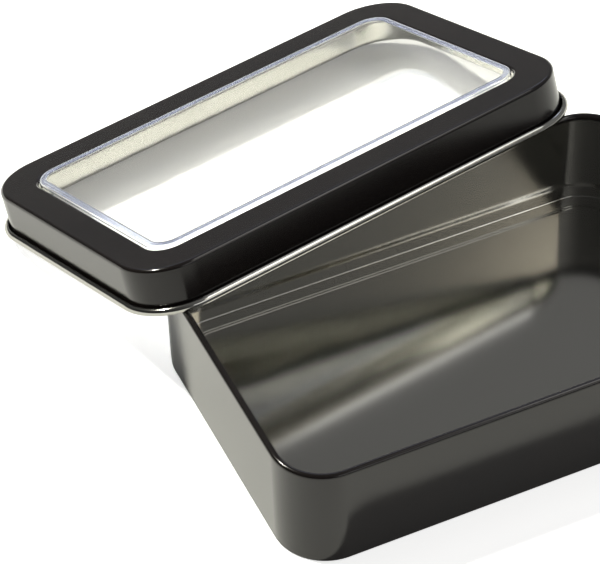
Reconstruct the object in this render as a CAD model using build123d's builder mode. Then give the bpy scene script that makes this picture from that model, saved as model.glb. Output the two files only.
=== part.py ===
from build123d import *
import math
import os

os.makedirs("parts", exist_ok=True)

# A two-piece drawn tin for cards: an open base, and a slip-on lid with a clear window.
# The lid is off, and leans on the base: its front edge lies on the base's rim, and its
# back edge stands on the table. All sizes are in millimetres, and the table is at Z = 0.

# Tinplate, the same sheet in both shells
sheet = 0.25                # thickness of the plate
curl_turn = 290.0           # degrees that each rolled edge turns through

# Base
tin_length = 110.0          # outside, along X
tin_width = 75.0            # outside, along Y
tin_height = 25.3           # table to the top of the rolled rim
corner_radius = 11.5        # outside, seen from above
rim_curl = 1.6              # outside diameter of the rim, rolled inwards
foot_radius = 0.5           # outside, where the wall turns into the floor
foot_width = 3.4            # from the wall's outside to the end of the ring it stands on
floor_rise = 0.4            # height of the floor panel above the ring
floor_slope = 0.9           # width of the step between them
floor_bend = 0.35           # radius of the two bends in that step

# Lid
lid_gap = 0.3               # slip fit between the base's wall and the lid's skirt
lid_height = 10.4           # bottom of the rolled edge to the top of the frame
lid_curl = 1.8              # outside diameter of the edge, rolled outwards
crown_radius = 0.8          # outside, between the frame and the skirt
frame_end = 7.9             # width of the frame at the two ends
frame_side = 8.9            # width of the frame along the two long sides
opening_radius = 5.2        # corners of the window opening
lip_depth = 0.9             # depth of the lip turned down round the opening
lip_radius = 0.7            # outside radius of that turn

# Window pane, formed from clear sheet, and the adhesive that holds it
pane_sheet = 0.35           # thickness of the clear sheet
pane_gap = 0.15             # between the lip and the pane's wall
pane_corner = 5.6           # corners of the pane's wall, outside, seen from above
pane_rise = 0.7             # height of the pane's ridge above the frame
pane_bend = 0.3             # radius of the bends in the pane
ridge_width = 1.3           # width of the ridge round the pane
panel_drop = 0.3            # depth of the flat panel below the ridge
flange_width = 3.0          # how far the pane's flange reaches under the frame
flange_gap = 0.1            # between the lip's edge and the flange
adhesive_margin = 0.4       # adhesive held back from the lip's turn and the flange's edge

# Where the lid has been laid down
lid_x = -12.8               # middle of the lid, to the left of the base's middle
lid_y = 61.3                # middle of the lid, behind the base's middle
lid_yaw = 10.25             # degrees that the lid is turned, seen from above
rest_gap = 0.25             # between the lid's rolled edge and the rim it lies on
settling_steps = 12         # rounds that bring the lid to rest

# Sizes that follow
lid_length = tin_length + 2 * (lid_gap + sheet)
lid_width = tin_width + 2 * (lid_gap + sheet)
lid_corner = corner_radius + lid_gap + sheet
opening_length = lid_length - 2 * frame_end
opening_width = lid_width - 2 * frame_side
half_sheet = sheet / 2
curl_reach = lid_curl / 2 - sheet           # skirt's outside to the middle of the lid's roll


def outline(plane, length, width, radius):
    # A rectangle with round corners on the plane, drawn from the middle of its +X side
    with BuildLine() as path:
        side = Line((length / 2, 0), (length / 2, width / 2 - radius))
        for run in (length, width, length, width / 2 + radius):
            corner = JernArc(side @ 1, side % 1, radius, 90)
            side = PolarLine(corner @ 1, run - 2 * radius, direction=corner % 1)
    return path.wire().moved(plane.location)


def cross_section(plane):
    # The upright plane through the middle of the +X side, where the profiles are drawn
    return Plane(origin=plane.origin, x_dir=plane.x_dir, z_dir=-plane.y_dir)


# How the lid lies: the middle lines of the two rolled edges are brought together
rim_line = outline(
    Plane.XY.offset(tin_height - rim_curl / 2),
    tin_length - rim_curl,
    tin_width - rim_curl,
    corner_radius - rim_curl / 2,
)
edge_line = outline(
    Plane.XY.offset(lid_curl / 2),
    lid_length + 2 * curl_reach,
    lid_width + 2 * curl_reach,
    lid_corner + curl_reach,
)
left_rim = rim_line.edges().sort_by(Axis.X)[0]
back_rim = rim_line.edges().sort_by(Axis.Y)[-1]
back_corner = rim_line.edges().sort_by(Axis.Y)[-3:-1].sort_by(Axis.X)[-1]


def lid_location(lean, cant):
    # The lid leant back and canted end to end, with its rolled edge just on the table
    turn = Rotation(0, 0, lid_yaw) * Rotation(0, -cant, 0) * Rotation(-lean, 0, 0)
    lift = lid_curl / 2 - edge_line.moved(turn).bounding_box().min.Z
    return Pos(lid_x, lid_y, lift) * turn


def gap_to(rims, lean, cant):
    # Clear distance from the lid's roll to the rim's, less the gap that is wanted
    laid_edge = edge_line.moved(lid_location(lean, cant))
    apart = min(laid_edge.distance_to(rim) for rim in rims)
    return apart - (rim_curl + lid_curl) / 2 - rest_gap


lean = 25.0                 # degrees, brought down until both ends of the lid rest
cant = 0.0
for settling in range(settling_steps):
    left_gap = gap_to([left_rim], lean, cant)
    right_gap = gap_to([back_rim, back_corner], lean, cant)
    lean -= math.degrees((left_gap + right_gap) / 2 / lid_width)
    cant -= math.degrees((right_gap - left_gap) / lid_length)
print(f"lid leans {lean:.3f} and cants {cant:.3f} degrees, gaps {left_gap:.5f} {right_gap:.5f}")

base_plane = Plane.XY
lid_plane = Plane(lid_location(lean, cant))

# Base: wall, rolled rim, foot and the step up to the floor panel, all one sheet
wall_x = tin_length / 2 - half_sheet
step_x = tin_length / 2 - foot_width
panel_x = step_x - floor_slope
panel_z = half_sheet + floor_rise
floor_edge = panel_x - floor_bend

with BuildPart() as base_shell:
    with BuildSketch(cross_section(base_plane)):
        with BuildLine():
            floor_step = FilletPolyline(
                (floor_edge, panel_z),
                (panel_x, panel_z),
                (step_x, half_sheet),
                (wall_x - foot_radius, half_sheet),
                radius=floor_bend,
            )
            foot = JernArc(floor_step @ 1, (1, 0), foot_radius - half_sheet, 90)
            wall = Line(foot @ 1, (wall_x, tin_height - rim_curl / 2))
            JernArc(wall @ 1, (0, 1), (rim_curl - sheet) / 2, curl_turn)
        trace(line_width=sheet)
    sweep(path=outline(base_plane, tin_length, tin_width, corner_radius))
    inset = tin_length / 2 - floor_edge
    with BuildSketch(base_plane.offset(floor_rise)):
        RectangleRounded(
            tin_length - 2 * inset, tin_width - 2 * inset, corner_radius - inset
        )
    extrude(amount=sheet)

base_shell.part.label = "base_shell"
export_step(base_shell.part, "parts/base_shell.step")

# Lid: skirt with its outward roll, crown and frame, with a lip round the opening
lid_section = cross_section(lid_plane)
frame_z = lid_height - half_sheet
skirt_x = lid_length / 2 - half_sheet
crown_bend = crown_radius - half_sheet
lip_x = opening_length / 2 + half_sheet
lip_bend = lip_radius - half_sheet

with BuildPart() as lid_shell:
    with BuildSketch(lid_section):
        with BuildLine():
            skirt = Line((skirt_x, frame_z - crown_bend), (skirt_x, lid_curl / 2))
            JernArc(skirt @ 1, (0, -1), (lid_curl - sheet) / 2, curl_turn)
            JernArc(skirt @ 0, (0, 1), crown_bend, 90)
        trace(line_width=sheet)
    sweep(path=outline(lid_plane, lid_length, lid_width, lid_corner))
    with BuildSketch(lid_section):
        with BuildLine():
            lip = Line((lip_x, lid_height - lip_depth), (lip_x, frame_z - lip_bend))
            JernArc(lip @ 1, (0, 1), lip_bend, -90)
        trace(line_width=sheet)
    sweep(path=outline(lid_plane, opening_length, opening_width, opening_radius))
    with BuildSketch(lid_plane.offset(lid_height - sheet)):
        RectangleRounded(
            lid_length - 2 * crown_radius,
            lid_width - 2 * crown_radius,
            lid_corner - crown_radius,
        )
        RectangleRounded(
            opening_length + 2 * lip_radius,
            opening_width + 2 * lip_radius,
            opening_radius + lip_radius,
            mode=Mode.SUBTRACT,
        )
    extrude(amount=sheet)

lid_shell.part.label = "lid_shell"
export_step(lid_shell.part, "parts/lid_shell.step")

# Window pane: a flange under the frame, a wall through the opening, a ridge and a panel
flange_top = lid_height - lip_depth - flange_gap
flange_z = flange_top - pane_sheet / 2
ridge_z = lid_height + pane_rise - pane_sheet / 2
pane_length = opening_length - 2 * pane_gap
pane_width = opening_width - 2 * pane_gap
pane_x = (pane_length - pane_sheet) / 2
ridge_x = pane_x - ridge_width
pane_edge = ridge_x - 2 * pane_bend - panel_drop

with BuildPart() as window_pane:
    with BuildSketch(lid_section):
        with BuildLine():
            FilletPolyline(
                (opening_length / 2 + flange_width, flange_z),
                (pane_x, flange_z),
                (pane_x, ridge_z),
                (ridge_x, ridge_z),
                (ridge_x - panel_drop, ridge_z - panel_drop),
                (pane_edge, ridge_z - panel_drop),
                radius=pane_bend,
            )
        trace(line_width=pane_sheet)
    sweep(path=outline(lid_plane, pane_length, pane_width, pane_corner))
    inset = pane_length / 2 - pane_edge
    with BuildSketch(lid_plane.offset(lid_height + pane_rise - panel_drop - pane_sheet)):
        RectangleRounded(pane_length - 2 * inset, pane_width - 2 * inset, pane_corner - inset)
    extrude(amount=pane_sheet)

window_pane.part.label = "window_pane"
export_step(window_pane.part, "parts/window_pane.step")

# Adhesive: a flat bead between the pane's flange and the underside of the frame
bead_inner = lip_radius + adhesive_margin
bead_outer = flange_width - adhesive_margin

with BuildPart() as pane_adhesive:
    with BuildSketch(lid_plane.offset(flange_top)):
        RectangleRounded(
            opening_length + 2 * bead_outer,
            opening_width + 2 * bead_outer,
            pane_corner + pane_gap + bead_outer,
        )
        RectangleRounded(
            opening_length + 2 * bead_inner,
            opening_width + 2 * bead_inner,
            opening_radius + bead_inner,
            mode=Mode.SUBTRACT,
        )
    extrude(amount=lid_height - sheet - flange_top)

pane_adhesive.part.label = "pane_adhesive"
export_step(pane_adhesive.part, "parts/pane_adhesive.step")
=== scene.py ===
import math

import bmesh
import bpy
from mathutils import Matrix, Quaternion, Vector


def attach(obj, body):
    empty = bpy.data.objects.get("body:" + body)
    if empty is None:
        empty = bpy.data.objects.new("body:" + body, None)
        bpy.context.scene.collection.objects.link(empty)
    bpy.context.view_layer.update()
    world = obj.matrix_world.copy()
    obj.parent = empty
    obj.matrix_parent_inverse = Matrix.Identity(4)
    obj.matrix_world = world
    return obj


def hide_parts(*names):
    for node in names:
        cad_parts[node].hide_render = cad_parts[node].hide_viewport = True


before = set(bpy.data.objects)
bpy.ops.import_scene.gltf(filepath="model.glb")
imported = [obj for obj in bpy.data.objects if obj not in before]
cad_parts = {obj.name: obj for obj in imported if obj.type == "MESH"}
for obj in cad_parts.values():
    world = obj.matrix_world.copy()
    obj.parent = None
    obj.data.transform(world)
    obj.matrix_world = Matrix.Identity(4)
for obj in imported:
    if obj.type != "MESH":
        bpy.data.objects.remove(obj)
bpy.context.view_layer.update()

print("stage 1: frame loaded,", ", ".join(sorted(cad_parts)))

# A drawn tin for cards with its slip-on window lid off and leaning on the rim.
# Sizes in the dictionaries are millimetres and degrees, Blender itself works in metres.
mm = 0.001
sheetThickness = 0.25        # tinplate, the same in both shells
curlTurn = 290               # how far round each rolled edge goes
mergeGap = 0.005             # points nearer than this become one
sameHeight = 0.002           # points within this of a height lie at it

# places of the colour sockets on a Mix node, and the span that most of a noise fills
mixA, mixB, mixResult = 6, 7, 2
noiseLow, noiseHigh = 0.3, 0.7


# Small tools

def hexColour(code):
    # sRGB hex to the linear values that the shader sockets want
    channels = []
    for start in (0, 2, 4):
        value = int(code[start:start + 2], 16) / 255
        channels.append(value / 12.92 if value <= 0.04045 else ((value + 0.055) / 1.055) ** 2.4)
    return (*channels, 1.0)


def addNode(tree, kind, settings=None, **links):
    # one node: settings are its properties or the values of its inputs, by name or by
    # number, and links are the sockets that feed its inputs
    node = tree.nodes.new(kind)
    for name, value in (settings or {}).items():
        if isinstance(name, str) and hasattr(node, name):
            setattr(node, name, value)
        else:
            node.inputs[name].default_value = value
    for name, source in links.items():
        key = int(name[5:]) if name.startswith("input") else name.replace("_", " ")
        tree.links.new(source, node.inputs[key])
    return node


def newMaterial(name):
    material = bpy.data.materials.new(name)
    material.use_nodes = True
    tree = material.node_tree
    tree.nodes.clear()
    return material, tree


def addPiece(name, bm, materials, body, replaced):
    # finished mesh to a smooth shaded piece that rides on its body in place of the CAD node
    mesh = bpy.data.meshes.new(name)
    bm.to_mesh(mesh)
    bm.free()
    for polygon in mesh.polygons:
        polygon.use_smooth = True
    piece = bpy.data.objects.new(name, mesh)
    bpy.context.scene.collection.objects.link(piece)
    for material in materials:
        mesh.materials.append(material)
    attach(piece, body)
    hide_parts(replaced)
    return piece


def arcPoints(centre, radius, startAngle, turn, steps):
    # points along an arc in the profile plane, the first point left out
    points = []
    for step in range(1, steps + 1):
        angle = math.radians(startAngle + turn * step / steps)
        points.append((centre[0] + radius * math.cos(angle), centre[1] + radius * math.sin(angle)))
    return points


def filletPath(corners, radii, steps):
    # a run of straight lines with every bend between them rounded
    points = [corners[0]]
    for before, corner, after, radius in zip(corners, corners[1:], corners[2:], radii):
        here = Vector(corner)
        back = (Vector(before) - here).normalized()
        ahead = (Vector(after) - here).normalized()
        half = back.angle(ahead) / 2
        centre = here + (back + ahead).normalized() * radius / math.sin(half)
        first = here + back * radius / math.tan(half) - centre
        last = here + ahead * radius / math.tan(half) - centre
        sweepAngle = math.degrees(first.angle_signed(last))
        startAngle = math.degrees(math.atan2(first.y, first.x))
        points.append(tuple(centre + first))
        points += arcPoints(centre, radius, startAngle, -sweepAngle, steps)
    return points + [corners[-1]]


def sweepRound(bm, profile, length, width, radius, cornerSteps):
    # draws the profile on the upright plane of the +X side and carries it once round the
    # rectangle with round corners: straight runs are extruded, corners are spun
    # profile points are (distance out from the +X side, height), all in millimetres
    start = -(width / 2 - radius)
    verts = [bm.verts.new(((length / 2 + out) * mm, start * mm, up * mm)) for out, up in profile]
    edges = [bm.edges.new(pair) for pair in zip(verts, verts[1:])]
    for quarter in range(4):
        along = Matrix.Rotation(math.radians(90 * quarter), 3, "Z") @ Vector((0, 1, 0))
        run = (width if quarter % 2 == 0 else length) - 2 * radius
        grown = bmesh.ops.extrude_edge_only(bm, edges=edges)["geom"]
        moved = [item for item in grown if isinstance(item, bmesh.types.BMVert)]
        bmesh.ops.translate(bm, verts=moved, vec=along * run * mm)
        ends = set(moved)
        edges = [item for item in grown if isinstance(item, bmesh.types.BMEdge)
                 and item.verts[0] in ends and item.verts[1] in ends]
        centre = Vector((
            (length / 2 - radius) * (1 if quarter in (0, 3) else -1),
            (width / 2 - radius) * (1 if quarter in (0, 1) else -1),
            0,
        )) * mm
        spun = bmesh.ops.spin(
            bm, geom=edges + moved, cent=centre, axis=(0, 0, 1),
            angle=math.radians(90), steps=cornerSteps, use_merge=False,
        )["geom_last"]
        edges = [item for item in spun if isinstance(item, bmesh.types.BMEdge)]
    bmesh.ops.remove_doubles(bm, verts=bm.verts, dist=mergeGap * mm)


def openEdges(bm, height):
    # the open edges that lie flat at this height
    return [edge for edge in bm.edges if edge.is_boundary
            and all(abs(vert.co.z - height * mm) < sameHeight * mm for vert in edge.verts)]


def fillInnerLoop(bm, height):
    # closes the innermost open loop, which lies flat at this height, with one face
    bmesh.ops.contextual_create(bm, geom=openEdges(bm, height))


def fillBetween(bm, height):
    # closes the flat ring between the two open loops that lie at this height
    bmesh.ops.triangle_fill(bm, edges=openEdges(bm, height), use_beauty=True)


def thicken(piece, thickness, innerMaterial):
    # the sheet's thickness half to each side, with the other material on its inner face
    shell = piece.modifiers.new("sheet thickness", "SOLIDIFY")
    shell.thickness = thickness * mm
    shell.offset = 0
    shell.use_even_offset = True
    shell.material_offset = innerMaterial
    shell.material_offset_rim = innerMaterial
    soft = piece.modifiers.new("flat faces stay flat", "WEIGHTED_NORMAL")
    soft.keep_sharp = True


# Finishes

# Black stoving lacquer over tinplate: a thin satin coat, faintly brown where the tin
# glints through it, with the slight orange peel that a roller-coated sheet has.
lacquerFinish = {
    "colour": "141213",
    "warmColour": "1c1715",
    "cloudSize": 24.0,       # mm across the faint warm clouds
    "cloudDetail": 3.0,
    "roughness": 0.15,
    "roughnessSpread": 0.04,
    "ior": 1.33,
    "peelSize": 0.9,         # mm from crest to crest of the orange peel
    "peelHeight": 0.0005,
    "peelDetail": 1.0,
}


def makeLacquer():
    material, tree = newMaterial("satinBlackLacquerOnTinplate")
    place = addNode(tree, "ShaderNodeTexCoord").outputs["Object"]
    clouds = addNode(tree, "ShaderNodeTexNoise", {
        "Scale": 1 / (lacquerFinish["cloudSize"] * mm), "Detail": lacquerFinish["cloudDetail"],
    }, Vector=place).outputs["Fac"]
    colour = addNode(tree, "ShaderNodeMix", {
        "data_type": "RGBA",
        mixA: hexColour(lacquerFinish["colour"]),
        mixB: hexColour(lacquerFinish["warmColour"]),
    }, Factor=clouds).outputs[mixResult]
    roughness = addNode(tree, "ShaderNodeMapRange", {
        "From Min": noiseLow, "From Max": noiseHigh,
        "To Min": lacquerFinish["roughness"] - lacquerFinish["roughnessSpread"] / 2,
        "To Max": lacquerFinish["roughness"] + lacquerFinish["roughnessSpread"] / 2,
    }, Value=clouds).outputs["Result"]
    peel = addNode(tree, "ShaderNodeTexNoise", {
        "Scale": 1 / (lacquerFinish["peelSize"] * mm), "Detail": lacquerFinish["peelDetail"],
    }, Vector=place).outputs["Fac"]
    bump = addNode(tree, "ShaderNodeBump", {
        "Strength": 1.0, "Distance": lacquerFinish["peelHeight"] * mm,
    }, Height=peel).outputs["Normal"]
    surface = addNode(tree, "ShaderNodeBsdfPrincipled", {
        "IOR": lacquerFinish["ior"],
        "Coat Weight": 1.0,
        "Coat IOR": lacquerFinish["ior"],
        "Coat Roughness": lacquerFinish["roughness"],
    }, Base_Color=colour, Roughness=roughness, Normal=bump, Coat_Normal=bump)
    addNode(tree, "ShaderNodeOutputMaterial", {}, Surface=surface.outputs["BSDF"])
    return material


# Bare tinplate: bright tin on rolled steel, so a dull mirror with fine rolling lines
# along the sheet and the small mottle of the tin's grain.
tinFinish = {
    "colour": "c6c5c0",
    "darkColour": "bdbcb6",
    "grainSize": 0.6,        # mm across the tin's grain
    "grainHeight": 0.0009,
    "grainDetail": 3.0,
    "grainBreakUp": 0.65,    # share of its fine detail in the grain
    "roughness": 0.125,
    "roughnessSpread": 0.02,
    "rollingPitch": 0.22,    # mm between rolling lines, drawn coarser than the real 0.02
    "rollingHeight": 0.0006,
    "rollingDetail": 2.0,
    "rollingSquash": 0.04,   # a line's width over its length
}


def makeTinplate():
    material, tree = newMaterial("bareBrightTinplate")
    place = addNode(tree, "ShaderNodeTexCoord").outputs["Object"]
    grain = addNode(tree, "ShaderNodeTexNoise", {
        "Scale": 1 / (tinFinish["grainSize"] * mm),
        "Detail": tinFinish["grainDetail"],
        "Roughness": tinFinish["grainBreakUp"],
    }, Vector=place).outputs["Fac"]
    colour = addNode(tree, "ShaderNodeMix", {
        "data_type": "RGBA",
        mixA: hexColour(tinFinish["darkColour"]),
        mixB: hexColour(tinFinish["colour"]),
    }, Factor=grain).outputs[mixResult]
    roughness = addNode(tree, "ShaderNodeMapRange", {
        "From Min": noiseLow, "From Max": noiseHigh,
        "To Min": tinFinish["roughness"] - tinFinish["roughnessSpread"] / 2,
        "To Max": tinFinish["roughness"] + tinFinish["roughnessSpread"] / 2,
    }, Value=grain).outputs["Result"]
    pitch = tinFinish["rollingPitch"] * mm
    drawnOut = addNode(tree, "ShaderNodeMapping", {
        "Scale": (tinFinish["rollingSquash"] / pitch, 1 / pitch, 1 / pitch),
    }, Vector=place).outputs["Vector"]
    lines = addNode(tree, "ShaderNodeTexNoise", {
        "Scale": 1.0, "Detail": tinFinish["rollingDetail"],
    }, Vector=drawnOut).outputs["Fac"]
    rolled = addNode(tree, "ShaderNodeBump", {
        "Strength": 1.0, "Distance": tinFinish["rollingHeight"] * mm,
    }, Height=lines).outputs["Normal"]
    bump = addNode(tree, "ShaderNodeBump", {
        "Strength": 1.0, "Distance": tinFinish["grainHeight"] * mm,
    }, Height=grain, Normal=rolled).outputs["Normal"]
    surface = addNode(tree, "ShaderNodeBsdfPrincipled", {
        "Metallic": 1.0,
    }, Base_Color=colour, Roughness=roughness, Normal=bump)
    addNode(tree, "ShaderNodeOutputMaterial", {}, Surface=surface.outputs["BSDF"])
    return material


# Clear polyester sheet, vacuum formed: glossy and faintly wavy. Along the ridge it is made less
# clear
#  and tinted blue-white, a painted highlight that stands in for the bright band the ridge catches
#  from the lamps.
clearFinish = {
    "ior": 1.57,
    "waveSize": 9.0,         # mm from crest to crest of the waves
    "waveHeight": 0.012,
    "waveDetail": 1.0,
    "flat": {
        "name": "clearFormedPolyester", "colour": "fdfdfc", "roughness": 0.03, "clear": 1.0,
    },
    # painted highlight: the ridge's blue-white tint and haze stand in for the bright band it
    # catches
    "ridge": {
        "name": "ridgePaintedHighlightPolyester", "colour": "d3d8ea", "roughness": 0.07, "clear": 0.8,
    },
}


def makeClearSheet(look):
    material, tree = newMaterial(look["name"])
    place = addNode(tree, "ShaderNodeTexCoord").outputs["Object"]
    waves = addNode(tree, "ShaderNodeTexNoise", {
        "Scale": 1 / (clearFinish["waveSize"] * mm), "Detail": clearFinish["waveDetail"],
    }, Vector=place).outputs["Fac"]
    bump = addNode(tree, "ShaderNodeBump", {
        "Strength": 1.0, "Distance": clearFinish["waveHeight"] * mm,
    }, Height=waves).outputs["Normal"]
    surface = addNode(tree, "ShaderNodeBsdfPrincipled", {
        "Base Color": hexColour(look["colour"]),
        "IOR": clearFinish["ior"],
        "Roughness": look["roughness"],
        "Transmission Weight": look["clear"],
    }, Normal=bump).outputs["BSDF"]
    # the lamps shine through it, so it throws only the shadow that its tint gives
    lampsPass = addNode(tree, "ShaderNodeBsdfTransparent", {
        "Color": hexColour(look["colour"]),
    }).outputs["BSDF"]
    lampRay = addNode(tree, "ShaderNodeLightPath").outputs["Is Shadow Ray"]
    mixed = addNode(tree, "ShaderNodeMixShader", {}, Fac=lampRay, input1=surface, input2=lampsPass)
    addNode(tree, "ShaderNodeOutputMaterial", {}, Surface=mixed.outputs["Shader"])
    return material


# Pressure-sensitive adhesive: a milky, rubbery bead pressed flat.
adhesiveFinish = {
    "colour": "c9c3b4",
    "roughness": 0.45,
    "ior": 1.48,
    "milkiness": 0.3,
    "glowDepth": 1.0,        # mm that light goes into it
    "rippleSize": 1.3,       # mm between the ripples left by pressing
    "rippleHeight": 0.02,
    "rippleDetail": 2.0,
}


def makeAdhesive():
    material, tree = newMaterial("pressedRubberyAdhesive")
    place = addNode(tree, "ShaderNodeTexCoord").outputs["Object"]
    ripples = addNode(tree, "ShaderNodeTexNoise", {
        "Scale": 1 / (adhesiveFinish["rippleSize"] * mm), "Detail": adhesiveFinish["rippleDetail"],
    }, Vector=place).outputs["Fac"]
    bump = addNode(tree, "ShaderNodeBump", {
        "Strength": 1.0, "Distance": adhesiveFinish["rippleHeight"] * mm,
    }, Height=ripples).outputs["Normal"]
    surface = addNode(tree, "ShaderNodeBsdfPrincipled", {
        "Base Color": hexColour(adhesiveFinish["colour"]),
        "IOR": adhesiveFinish["ior"],
        "Roughness": adhesiveFinish["roughness"],
        "Subsurface Weight": adhesiveFinish["milkiness"],
        "Subsurface Radius": (adhesiveFinish["glowDepth"] * mm,) * 3,
    }, Normal=bump)
    addNode(tree, "ShaderNodeOutputMaterial", {}, Surface=surface.outputs["BSDF"])
    return material


lacquer = makeLacquer()
tinplate = makeTinplate()
clearSheet = makeClearSheet(clearFinish["flat"])
clearRidge = makeClearSheet(clearFinish["ridge"])
adhesive = makeAdhesive()
print("stage 2: finishes made")


# Base

tin = {
    "length": 110.0, "width": 75.0, "height": 25.3, "corner": 11.5,
    "rimCurl": 1.6,          # across the rolled rim
    "foot": 0.5,             # radius where the wall turns into the floor
    "footWidth": 3.4,        # of the ring it stands on
    "floorRise": 0.4, "floorSlope": 0.9, "floorBend": 1.1,   # step up to the floor panel
    "cornerSteps": 24, "bendSteps": 8, "curlSteps": 22, "footSteps": 8,
}


def makeBase():
    # middle line of the sheet, from the floor panel out over the foot and up to the rolled rim
    half = sheetThickness / 2
    wallX = -half
    panelZ = tin["floorRise"] + half
    stepX = -tin["footWidth"]
    panelX = stepX - tin["floorSlope"]
    footBend = tin["foot"] - half
    curlBend = (tin["rimCurl"] - sheetThickness) / 2
    curlZ = tin["height"] - tin["rimCurl"] / 2
    profile = filletPath([
        (panelX - tin["floorBend"], panelZ), (panelX, panelZ),
        (stepX, half), (wallX - footBend, half),
    ], [tin["floorBend"]] * 2, tin["bendSteps"])
    profile += arcPoints((wallX - footBend, half + footBend), footBend, -90, 90, tin["footSteps"])
    profile.append((wallX, curlZ))
    profile += arcPoints((wallX - curlBend, curlZ), curlBend, 0, curlTurn, tin["curlSteps"])
    bm = bmesh.new()
    sweepRound(bm, profile, tin["length"], tin["width"], tin["corner"], tin["cornerSteps"])
    fillInnerLoop(bm, panelZ)
    bmesh.ops.recalc_face_normals(bm, faces=bm.faces)
    floor = max(bm.faces, key=lambda face: face.calc_area())
    if floor.normal.z > 0:   # the lacquered side is the outside
        bmesh.ops.reverse_faces(bm, faces=bm.faces)
    piece = addPiece("baseShell", bm, [lacquer, tinplate], "base", "base_shell")
    thicken(piece, sheetThickness, 1)


makeBase()
print("stage 3: base made")


# Lid

# where it lies: its front edge on the base's rim, its back edge on the table
lidPlace = {"x": -12.8, "y": 61.3, "up": 13.2094, "yaw": 10.25, "cant": 0.261, "lean": 19.564}
lid = {
    "gap": 0.3,              # slip fit over the base's wall
    "height": 10.4,
    "curl": 1.8,             # across the rolled edge
    "crown": 0.8,            # radius between the skirt and the frame
    "frameEnd": 7.9, "frameSide": 8.9, "openingCorner": 5.2,
    "lipDepth": 0.9, "lipBend": 0.7,
    "cornerSteps": 24, "curlSteps": 22, "crownSteps": 8, "lipSteps": 6,
}
lid["length"] = tin["length"] + 2 * (lid["gap"] + sheetThickness)
lid["width"] = tin["width"] + 2 * (lid["gap"] + sheetThickness)
lid["corner"] = tin["corner"] + lid["gap"] + sheetThickness
lid["openingLength"] = lid["length"] - 2 * lid["frameEnd"]
lid["openingWidth"] = lid["width"] - 2 * lid["frameSide"]
lidMatrix = (
    Matrix.Translation(Vector((lidPlace["x"], lidPlace["y"], lidPlace["up"])) * mm)
    @ Matrix.Rotation(math.radians(lidPlace["yaw"]), 4, "Z")
    @ Matrix.Rotation(math.radians(-lidPlace["cant"]), 4, "Y")
    @ Matrix.Rotation(math.radians(-lidPlace["lean"]), 4, "X")
)


def layDown(bm):
    # from the lid's own place to where it leans on the base
    bmesh.ops.transform(bm, matrix=lidMatrix, verts=bm.verts)


def makeLid():
    half = sheetThickness / 2
    skirtX = -half
    frameZ = lid["height"] - half
    crownBend = lid["crown"] - half
    curlBend = (lid["curl"] - sheetThickness) / 2
    curlZ = lid["curl"] / 2
    # outer shell from the end of the outward roll up the skirt and over the crown
    roll = arcPoints(
        (skirtX + curlBend, curlZ), curlBend, 180 + curlTurn, -curlTurn, lid["curlSteps"],
    )
    crown = arcPoints(
        (skirtX - crownBend, frameZ - crownBend), crownBend, 0, 90, lid["crownSteps"],
    )
    profile = roll + [(skirtX, frameZ - crownBend)] + crown
    bm = bmesh.new()
    sweepRound(bm, profile, lid["length"], lid["width"], lid["corner"], lid["cornerSteps"])
    # lip turned down round the opening
    lipBend = lid["lipBend"] - half
    lipProfile = [(half, lid["height"] - lid["lipDepth"]), (half, frameZ - lipBend)]
    lipProfile += arcPoints((half + lipBend, frameZ - lipBend), lipBend, 180, -90, lid["lipSteps"])
    lipMesh = bmesh.new()
    sweepRound(lipMesh, lipProfile, lid["openingLength"], lid["openingWidth"],
               lid["openingCorner"], lid["cornerSteps"])
    scrap = bpy.data.meshes.new("lip")
    lipMesh.to_mesh(scrap)
    lipMesh.free()
    bm.from_mesh(scrap)
    bpy.data.meshes.remove(scrap)
    # flat frame between the crown and the lip
    fillBetween(bm, frameZ)
    bmesh.ops.recalc_face_normals(bm, faces=bm.faces)
    if max(bm.faces, key=lambda face: face.calc_center_median().z).normal.z < 0:
        bmesh.ops.reverse_faces(bm, faces=bm.faces)
    layDown(bm)
    piece = addPiece("lidShell", bm, [lacquer, tinplate], "lid", "lid_shell")
    thicken(piece, sheetThickness, 1)


makeLid()
print("stage 4: lid made")


# Window

pane = {
    "sheet": 0.35,
    "gap": 0.15,             # to the lid's lip
    "corner": 5.6,
    "rise": 0.7,             # ridge above the frame
    "ridge": 1.3,            # width of the ridge
    "bend": 0.3, "ridgeBend": 0.7,
    "drop": 0.3,             # ridge down to the panel
    "flatBand": 0.16,        # edge of the panel, this near its height, that stays clear
    "flange": 3.0, "flangeGap": 0.1, "glueMargin": 0.4,
    "cornerSteps": 24, "bendSteps": 8,
}
pane["length"] = lid["openingLength"] - 2 * pane["gap"]
pane["width"] = lid["openingWidth"] - 2 * pane["gap"]


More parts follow.
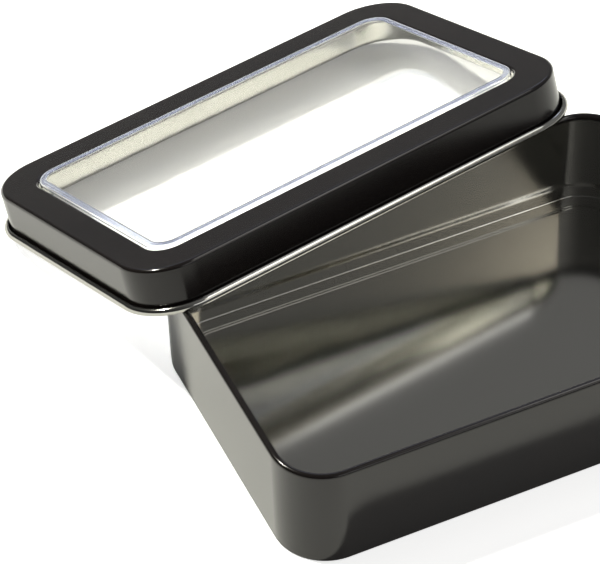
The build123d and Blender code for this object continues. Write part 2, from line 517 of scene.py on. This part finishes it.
def makePane():
    # middle line of the sheet, from under the frame up through the opening and over the
    # ridge to the panel
    flangeZ = lid["height"] - lid["lipDepth"] - pane["flangeGap"] - pane["sheet"] / 2
    ridgeZ = lid["height"] + pane["rise"] - pane["sheet"] / 2
    wallX = -pane["sheet"] / 2
    ridgeX = wallX - pane["ridge"]
    panelZ = ridgeZ - pane["drop"]
    profile = filletPath([
        (pane["gap"] + pane["flange"], flangeZ), (wallX, flangeZ),
        (wallX, ridgeZ), (ridgeX, ridgeZ),
        (ridgeX - pane["drop"], panelZ), (ridgeX - 2 * pane["bend"] - pane["drop"], panelZ),
    ], [pane["bend"], pane["ridgeBend"], pane["bend"], pane["bend"]], pane["bendSteps"])
    bm = bmesh.new()
    sweepRound(bm, profile, pane["length"], pane["width"], pane["corner"], pane["cornerSteps"])
    fillInnerLoop(bm, panelZ)
    bmesh.ops.recalc_face_normals(bm, faces=bm.faces)
    panel = max(bm.faces, key=lambda face: face.calc_area())
    if panel.normal.z < 0:
        bmesh.ops.reverse_faces(bm, faces=bm.faces)
    for face in bm.faces:   # the less clear blue-white tint, a painted highlight, is on the ridge and its wall, above the frame
        farthest = max(abs(vert.co.z - panelZ * mm) for vert in face.verts)
        aboveFrame = face.calc_center_median().z > lid["height"] * mm
        face.material_index = int(
            aboveFrame and face is not panel and farthest > pane["flatBand"] * mm
        )
    layDown(bm)
    piece = addPiece(
        "windowPane", bm, [clearSheet, clearRidge], "lid", "window_pane",
    )
    thicken(piece, pane["sheet"], 0)


def makeGlue():
    # flat bead between the pane's flange and the underside of the frame
    bottom = lid["height"] - lid["lipDepth"] - pane["flangeGap"]
    top = lid["height"] - sheetThickness
    inner = lid["lipBend"] + pane["glueMargin"]
    outer = pane["flange"] - pane["glueMargin"]
    bm = bmesh.new()
    for edge, corner in ((inner, lid["openingCorner"]), (outer, pane["corner"] + pane["gap"])):
        sweepRound(bm, [(edge, bottom), (edge, top)], lid["openingLength"], lid["openingWidth"],
                   corner, pane["cornerSteps"])
    fillBetween(bm, bottom)
    fillBetween(bm, top)
    bmesh.ops.recalc_face_normals(bm, faces=bm.faces)
    layDown(bm)
    addPiece("paneAdhesive", bm, [adhesive], "lid", "pane_adhesive")


makePane()
makeGlue()
print("stage 5: window made")


# Table, light and camera

studio = {
    "floorSize": 9000.0, "floorColour": "f4f4f2", "floorRoughness": 0.8,
    # what the table gives off besides the light on it: seen straight, through the window
    # and in a reflection
    "cameraLift": 0.72, "windowLift": 0.1, "mirrorLift": 0.04,
    # how far to the right in the room, from 0 on the left to 1, and how bright it is there
    "room": [(0.0, 0.035), (0.35, 0.06), (0.65, 0.165), (1.0, 0.22)],
}


def makeFloor():
    material, tree = newMaterial("mattWhiteTable")
    path = addNode(tree, "ShaderNodeLightPath").outputs
    mirrored = addNode(tree, "ShaderNodeMath", {
        "operation": "MULTIPLY", 1: studio["mirrorLift"],
    }, input0=path["Is Glossy Ray"]).outputs["Value"]
    through = addNode(tree, "ShaderNodeMath", {
        "operation": "MULTIPLY_ADD", 1: studio["windowLift"],
    }, input0=path["Is Transmission Ray"], input2=mirrored).outputs["Value"]
    lift = addNode(tree, "ShaderNodeMath", {
        "operation": "MULTIPLY_ADD", 1: studio["cameraLift"],
    }, input0=path["Is Camera Ray"], input2=through).outputs["Value"]
    surface = addNode(tree, "ShaderNodeBsdfPrincipled", {
        "Base Color": hexColour(studio["floorColour"]),
        "Roughness": studio["floorRoughness"],
        "Emission Color": (1, 1, 1, 1),
    }, Emission_Strength=lift)
    addNode(tree, "ShaderNodeOutputMaterial", {}, Surface=surface.outputs["BSDF"])
    bm = bmesh.new()
    bmesh.ops.create_grid(bm, x_segments=1, y_segments=1, size=studio["floorSize"] * mm / 2)
    mesh = bpy.data.meshes.new("table")
    bm.to_mesh(mesh)
    bm.free()
    table = bpy.data.objects.new("table", mesh)
    mesh.materials.append(material)
    bpy.context.scene.collection.objects.link(table)


# where each softbox hangs, its size, its watts and its colour
softboxes = {
    "keyBox": {
        "place": (-790, 780, 1660), "size": (90, 90), "watts": 39.5, "colour": "fffef2",
    },
    "topBox": {
        "place": (430, -25, 1000), "size": (620, 210), "watts": 1.2, "colour": "ffffff",
    },
    "backBox": {
        "place": (430, 1500, 820), "size": (1200, 330), "watts": 1.8, "colour": "d6dfff",
    },
    "frontBox": {
        "place": (641, -700, 1166), "size": (420, 360), "watts": 0.76, "colour": "fff5e2",
    },
    "lowFrontBox": {
        "place": (400, -1250, 800), "size": (900, 330), "watts": 1.6, "colour": "ffffff",
    },
}


def makeLights():
    world = bpy.context.scene.world or bpy.data.worlds.new("studio")
    bpy.context.scene.world = world
    world.use_nodes = True
    tree = world.node_tree
    tree.nodes.clear()
    direction = addNode(tree, "ShaderNodeTexCoord").outputs["Generated"]
    across = addNode(tree, "ShaderNodeSeparateXYZ", {}, Vector=direction).outputs["X"]
    share = addNode(tree, "ShaderNodeMapRange", {"From Min": -1.0}, Value=across).outputs["Result"]
    room = addNode(tree, "ShaderNodeValToRGB", {}, Fac=share)
    ramp = room.color_ramp
    while len(ramp.elements) < len(studio["room"]):
        ramp.elements.new(0.5)   # put in its place below
    for stop, (place, level) in zip(ramp.elements, studio["room"]):
        stop.position = place
        stop.color = (level, level, level, 1)
    sky = addNode(tree, "ShaderNodeBackground", {"Strength": 1.0}, Color=room.outputs["Color"])
    addNode(tree, "ShaderNodeOutputWorld", {}, Surface=sky.outputs["Background"])
    for name, box in softboxes.items():
        lamp = bpy.data.lights.new(name, "AREA")
        lamp.shape = "RECTANGLE"
        lamp.size = box["size"][0] * mm
        lamp.size_y = box["size"][1] * mm
        lamp.energy = box["watts"]
        lamp.color = hexColour(box["colour"])[:3]
        softbox = bpy.data.objects.new(name, lamp)
        softbox.location = Vector(box["place"]) * mm
        softbox.rotation_euler = (-softbox.location).to_track_quat("-Z", "Y").to_euler()
        bpy.context.scene.collection.objects.link(softbox)


shot = {
    "place": (-204.5, -404.7, 469.1), "aim": (-19.75, 39.02, 0.3), "roll": -2.717,
    "focalPixels": 3052.0, "picture": (600, 564), "sensor": 36.0,
    "nearest": 10, "farthest": 50000,
}


def makeCamera():
    data = bpy.data.cameras.new("camera")
    data.sensor_width = shot["sensor"]
    data.lens = shot["focalPixels"] * shot["sensor"] / shot["picture"][0]
    data.clip_start = shot["nearest"] * mm
    data.clip_end = shot["farthest"] * mm
    camera = bpy.data.objects.new("camera", data)
    camera.location = Vector(shot["place"]) * mm
    aim = Vector(shot["aim"]) * mm - camera.location
    camera.rotation_mode = "QUATERNION"
    camera.rotation_quaternion = (
        aim.to_track_quat("-Z", "Y") @ Quaternion((0, 0, 1), math.radians(shot["roll"]))
    )
    bpy.context.scene.collection.objects.link(camera)
    bpy.context.scene.camera = camera


makeFloor()
makeLights()
makeCamera()
bpy.context.scene.view_settings.view_transform = "Standard"
print("stage 6: studio made")
